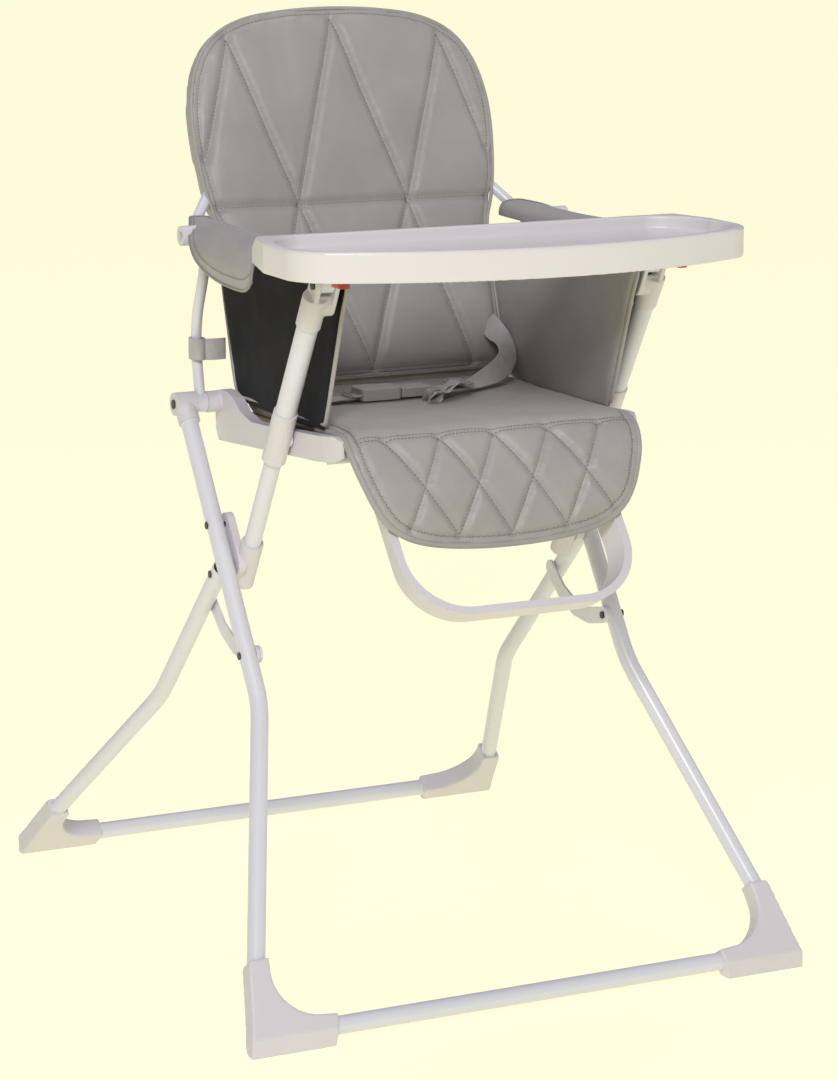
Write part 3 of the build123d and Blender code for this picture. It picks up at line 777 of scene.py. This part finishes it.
def ribbon(name, centre, across, width, thick, look, closed=False):
    """A flat strap: centre points in metres, across is the width direction at each point."""
    centre = np.array(centre, float)
    across = np.array(across, float)
    if across.ndim == 1:
        across = np.tile(across, (len(centre), 1))
    run = np.roll(centre, -1, 0) - np.roll(centre, 1, 0) if closed else np.gradient(centre, axis=0)
    run /= np.linalg.norm(run, axis=1)[:, None]
    across = across - run * np.sum(across * run, axis=1)[:, None]
    across /= np.linalg.norm(across, axis=1)[:, None]
    normal = np.cross(run, across)
    normal /= np.linalg.norm(normal, axis=1)[:, None]
    section = [(-0.5, 0.3), (-0.46, 0.5), (0.0, 0.56), (0.46, 0.5), (0.5, 0.3),
               (0.5, -0.3), (0.46, -0.5), (0.0, -0.56), (-0.46, -0.5), (-0.5, -0.3)]
    sides = len(section)
    vertices = []
    for c, a, n in zip(centre, across, normal):
        vertices += [c + a * p * width + n * q * thick for p, q in section]
    count = len(centre)
    faces, place = [], []
    along = np.concatenate([[0], np.cumsum(np.linalg.norm(np.diff(centre, axis=0), axis=1))]) / MM
    for i in range(count if closed else count - 1):
        a, b = i * sides, (i + 1) % count * sides
        for k in range(sides):
            n = (k + 1) % sides
            faces.append((a + k, a + n, b + n, b + k))
            far = along[i + 1] if i + 1 < count else along[i] + 2
            place.append([(along[i], section[k][0] * width / MM), (along[i], section[n][0] * width / MM),
                          (far, section[n][0] * width / MM), (far, section[k][0] * width / MM)])
    if not closed:
        faces.append(tuple(range(sides))[::-1])
        faces.append(tuple((count - 1) * sides + k for k in range(sides)))
        place += [[(0, 0)] * sides, [(0, 0)] * sides]
    piece = add_mesh(name, vertices, faces, look)
    layer = piece.data.uv_layers.new(name="weave")
    flat = [uv for corner in place for uv in corner]
    if len(flat) == len(layer.data):
        layer.data.foreach_set("uv", np.array(flat, np.float32).ravel())
    return piece


LOOP_HEIGHT = 668  # where the webbing crosses the back tube
LOOP_WIDTH, LOOP_THICK = 0.024, 0.0015


def webbing_loop(side, name):
    """The strap that ties the back tube to the seat cover."""
    tube_x, tube_y = 207.5, 35.3
    ring = []
    for k in range(28):
        angle = 2 * math.pi * k / 28
        x, y = tube_x + 8.0 * math.cos(angle), tube_y + 12.6 * math.sin(angle)
        ring.append(point(side * x, y, LOOP_HEIGHT))
    loop = ribbon("back_tube_strap_" + name, ring, (0, 0, 1), LOOP_WIDTH, LOOP_THICK, looks["webbing"],
                  closed=True)
    placed(loop, "back", "webbing", "webbing_loop_" + name)
    tail_points = smooth_path([(202, 24.5), (195, 22.0), (187, 21.6), (178.5, 22.5)], 2.0)
    tail_centre = [point(side * x, y, LOOP_HEIGHT) for x, y in tail_points]
    tail = ribbon("back_tube_strap_tail_" + name, tail_centre, (0, 0, 1), LOOP_WIDTH, LOOP_THICK,
                  looks["webbing"])
    placed(tail, "back", "webbing")


webbing_loop(1, "right")
webbing_loop(-1, "left")

STRAP_WIDTH, STRAP_THICK = 0.025, 0.0014


def strap_along(name, points, acrosses):
    """A ribbon through (x, y, z) points in mm, turning between the given across directions."""
    path = smooth_path(points, 2.5)
    marks = np.linspace(0, 1, len(acrosses))
    turn = np.linspace(0, 1, len(path))
    across = np.stack([np.interp(turn, marks, [a[i] for a in acrosses]) for i in range(3)], 1)
    centre = [point(*p) for p in path]
    return ribbon(name, centre, across, STRAP_WIDTH, STRAP_THICK, looks["webbing"])


left_strap = strap_along(
    "belt_strap_left",
    [(-160, -92, 640), (-150, -97, 628), (-132, -103, 623.6), (-108, -108, 624.6), (-88, -110, 626.5),
     (-70, -110, 629)],
    [(0.1, 0.9, 0.35), (0.0, 1, 0.1), (0.05, 1, 0.0), (0, 1, 0)],
)
placed(left_strap, "seat", "webbing", "belt_left")
right_strap = strap_along(
    "belt_strap_right",
    [(3, -110, 629.5), (22, -112, 629), (44, -110, 628.5), (70, -99, 628), (98, -83, 632), (124, -63, 638),
     (143, -40, 646), (151, -18, 657), (149, 0, 668), (145, 16, 678)],
    [(0, 1, 0), (0, 1, 0.05), (-0.15, 0.95, 0.25), (-0.4, 0.6, 0.65), (-0.6, 0.25, 0.75), (-0.6, 0.6, 0.4),
     (-0.4, 0.9, 0.1)],
)
placed(right_strap, "seat", "webbing", "belt_right")
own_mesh(right_strap)
loose_end = strap_along(
    "belt_strap_end",
    [(56, -112, 631.5), (40, -118, 634.5), (22, -128, 631), (6, -140, 626), (-4, -148, 624.4),
     (-7, -152, 627.0), (0, -149, 629.4), (14, -140, 630.4), (30, -128, 632.8)],
    [(0.2, 1, 0), (0.5, 0.85, 0), (0.62, 0.78, 0), (0.6, 0.8, 0)],
)
placed(loose_end, "seat", "webbing")
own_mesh(loose_end)


FRAME_RADIUS = 1.2 * MM


def frame_loop(name, centre, size, turn, bars):
    """A moulded strap adjuster: a rounded rectangle with cross bars, lying flat and turned."""
    half_x, half_y = size[0] / 2, size[1] / 2
    corner = 3.0
    outline = smooth_path([
        (-half_x + corner, -half_y), (half_x - corner, -half_y), (half_x, -half_y + corner),
        (half_x, half_y - corner), (half_x - corner, half_y), (-half_x + corner, half_y),
        (-half_x, half_y - corner), (-half_x, -half_y + corner)], 2.0, closed=True)
    cos_t, sin_t = math.cos(turn), math.sin(turn)

    def spot(x, y, z=0.0):
        return point(centre[0] + x * cos_t - y * sin_t, centre[1] + x * sin_t + y * cos_t, centre[2] + z)

    rim = tube(name, [spot(x, y) for x, y in outline], FRAME_RADIUS, looks["grey_plastic"], closed=True)
    for number, x in enumerate(bars):
        bar = tube(f"{name}_bar_{number}", [spot(x, y, 0.5) for y in np.linspace(-half_y, half_y, 9)],
                   FRAME_RADIUS, looks["grey_plastic"])
        bar.parent = rim
    return rim


adjuster = frame_loop("belt_adjuster", (48, -108, 633.4), (20, 31), 0.15, (-3.2, 3.2))
right_ring = frame_loop("buckle_ring_right", (13, -110, 629.6), (13, 32), 0.0, (1.5,))
for ring in (adjuster, right_ring):
    placed(ring, "seat", "grey_plastic")
    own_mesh(ring)
placed(frame_loop("buckle_ring_left", (-84, -110, 629.2), (13, 32), 0.0, (-1.5,)), "seat", "grey_plastic")

# ---------------------------------------------------------------- moulded parts with soft edges


SOFT_ANGLE = math.radians(32)


def soften(name, width, look):
    """Stands for a CAD node with its outer edges rounded over."""
    source = nodes[name]
    piece = bpy.data.objects.new(name + "_moulding", source.data.copy())
    scene.collection.objects.link(piece)
    work = bmesh.new()
    work.from_mesh(piece.data)
    bmesh.ops.remove_doubles(work, verts=work.verts, dist=0.00002)
    bmesh.ops.dissolve_limit(work, angle_limit=math.radians(1.0), verts=work.verts, edges=work.edges)
    work.to_mesh(piece.data)
    work.free()
    with_modifier(piece, "BEVEL", width=width * MM, segments=3, limit_method="ANGLE",
                  angle_limit=SOFT_ANGLE, use_clamp_overlap=True, harden_normals=False)
    with_modifier(piece, "WEIGHTED_NORMAL", keep_sharp=False)
    piece.data.materials.clear()
    piece.data.materials.append(look)
    return placed(piece, node_body[name], node_slot[name], name)


def melt(name, voxel, rounds, keep, look):
    """Stands for a CAD node with every edge rounded, as a thin moulding comes from its mould."""
    piece = bpy.data.objects.new(name + "_moulding", nodes[name].data.copy())
    scene.collection.objects.link(piece)
    with_modifier(piece, "REMESH", mode="VOXEL", voxel_size=voxel * MM, adaptivity=0)
    with_modifier(piece, "SMOOTH", factor=0.5, iterations=rounds)
    if keep < 1:
        with_modifier(piece, "DECIMATE", ratio=keep)
    piece.data.materials.clear()
    piece.data.materials.append(look)
    return placed(piece, node_body[name], node_slot[name], name)


soft_edges = {
    "front_top_hub": 1.2, "seat_bracket": 2.2, "latch_sleeve": 0.7,
    "elbow": 0.8, "back_hub": 1.2, "armrest_bar": 1.5, "brace_link": 0.8,
}
for family, width in soft_edges.items():
    for hand in ("left", "right"):
        soften(f"{family}_{hand}", width, looks[node_slot[f"{family}_{hand}"]])
for hand in ("left", "right"):
    melt("arm_cap_" + hand, 0.9, 8, 0.6, looks["white_plastic"])
melt("tray", 1.6, 7, 1, looks["tray_plastic"])


TUBE_CORNER = 60  # radius of the tube's bend at a foot
FOOT_INNER = 48  # radius of the foot's inner edge around the same centre
FOOT_TOP = 80


def moulded_foot(name, bar, top, leg_x, foot_x, bend_along, side):
    """Corner cap of a leg frame: a rounded block in the plane of the frame, flat on the floor."""
    run = np.array([top[0] - bar[0], top[1] - bar[1]])
    run = run / np.linalg.norm(run)
    slope = (foot_x - leg_x) / bend_along
    lean = math.atan(slope)
    reach = TUBE_CORNER / math.tan((math.pi / 2 - lean) / 2)
    outline = [(foot_x + 8, -22), (foot_x + 8, -4), (foot_x + 4, 12), (foot_x - slope * FOOT_TOP + 13, FOOT_TOP - 4),
               (foot_x - slope * FOOT_TOP + 11, FOOT_TOP), (foot_x - slope * FOOT_TOP - 11, FOOT_TOP)]
    for turn in np.linspace(lean, -math.pi / 2, 12):
        outline.append((foot_x - reach + FOOT_INNER * math.cos(turn), TUBE_CORNER + FOOT_INNER * math.sin(turn)))
    outline += [(foot_x - 94, 11), (foot_x - 86, -22)]
    piece = pad_blank(name + "_cap", outline, -12.2, 12.2, 2.0)
    with_modifier(piece, "SMOOTH", factor=0.5, iterations=7)
    u, v, w = (coordinates(piece) / MM).T
    sign = 1 if bar[0] < 0 else -1
    y = bar[0] + v * run[0] + w * run[1] * sign
    z = bar[1] + v * run[1] - w * run[0] * sign
    y = np.clip(y, -404, 370) + SHIFT
    set_coordinates(piece, np.stack([u * side, y, np.maximum(z, 0.0)], 1) * MM)
    if side * sign < 0:
        piece.data.flip_normals()
    piece.data.materials.append(looks["white_plastic"])
    placed(piece, node_body[name], node_slot[name], name)


for side, hand in ((1, "right"), (-1, "left")):
    moulded_foot("front_foot_" + hand, (-391, 17), (28, 608), 226, 322, 362, side)
    moulded_foot("rear_foot_" + hand, (357, 17), (-64, 432), 225, 314, 330, side)
soften("footrest", 1.6, looks["white_plastic"])


for side, hand in ((1, "right"), (-1, "left")):
    hub_screw = tube("back_hub_screw_" + hand, [point(side * x, 2, 799) for x in (226.5, 229, 232, 235)],
                     0.0031, looks["steel"], sides=16)
    placed(hub_screw, node_body["back_hub_" + hand], "steel")


def release_tip(side, hand):
    """The red end of a tray release lever, under the tray's rim."""
    outline = smooth_path([(190.5, -345), (201.5, -345), (201.5, -323), (190.5, -323)], 1.5, closed=True)
    piece = pad_blank("tray_release_tip_" + hand, outline, 780.5, 801.0, 1.2)
    u, v, w = (coordinates(piece) / MM).T
    set_coordinates(piece, np.stack([u * side, v + SHIFT, w], 1) * MM)
    if side < 0:
        piece.data.flip_normals()
    piece.data.materials.append(looks["red_plastic"])
    placed(piece, node_body["tray_release_" + hand], "red_plastic", "tray_release_" + hand)


release_tip(1, "right")
release_tip(-1, "left")
soften("back_board", 1.6, lining)
soften("buckle_body", 1.3, looks["grey_plastic"])
soften("buckle_tongue", 1.0, looks["grey_plastic"])

# ---------------------------------------------------------------- camera, light and floor


def area_light(name, place, target, size, power, colour):
    data = bpy.data.lights.new(name, "AREA")
    data.shape = "DISK"
    data.size = size
    data.energy = power
    data.color = colour
    lamp = bpy.data.objects.new(name, data)
    lamp.location = place
    lamp.rotation_euler = (Vector(target) - Vector(place)).to_track_quat("-Z", "Y").to_euler()
    scene.collection.objects.link(lamp)


CHAIR_MIDDLE = (0, 0, 0.55)
area_light("key_light", (-1.9, -3.3, 2.8), CHAIR_MIDDLE, 1.3, 108, (0.985, 0.965, 0.99))
area_light("fill_light", (3.2, -1.2, 1.8), CHAIR_MIDDLE, 2.6, 11, (0.985, 0.965, 1))
area_light("top_light", (0.2, 0.8, 3.4), CHAIR_MIDDLE, 2.0, 20, (0.985, 0.965, 1))
scene.view_settings.view_transform = "Standard"

world = bpy.data.worlds.new("studio")
world.use_nodes = True
world.node_tree.nodes["Background"].inputs["Color"].default_value = (0.97, 0.96, 1.0, 1)
world.node_tree.nodes["Background"].inputs["Strength"].default_value = 0.28
scene.world = world

floor_look = Nodes("pale_floor", (0.20, 0.192, 0.12), 0.9, Emission_Color=(1.0, 0.970, 0.71, 1),
                   Emission_Strength=0.92)
floor_look.tint(floor_look.noise(2, 2), 0.995, 1.0)
FLOOR_HALF, FLOOR_LEVEL = 30.0, -0.0005
floor = add_mesh(
    "floor",
    [(-FLOOR_HALF, -FLOOR_HALF, FLOOR_LEVEL), (FLOOR_HALF, -FLOOR_HALF, FLOOR_LEVEL),
     (FLOOR_HALF, FLOOR_HALF, FLOOR_LEVEL), (-FLOOR_HALF, FLOOR_HALF, FLOOR_LEVEL)],
    [(0, 1, 2, 3)], floor_look.material, smooth=False)

camera_data = bpy.data.cameras.new("camera")
camera_data.lens = 108.23
camera_data.sensor_width = 36
camera = bpy.data.objects.new("camera", camera_data)
camera.location = (-1.5231, -3.3170 + SHIFT * MM, 1.2240)
camera.rotation_euler = (math.radians(77.8237), 0, math.radians(-25.3776))
scene.collection.objects.link(camera)
scene.camera = camera
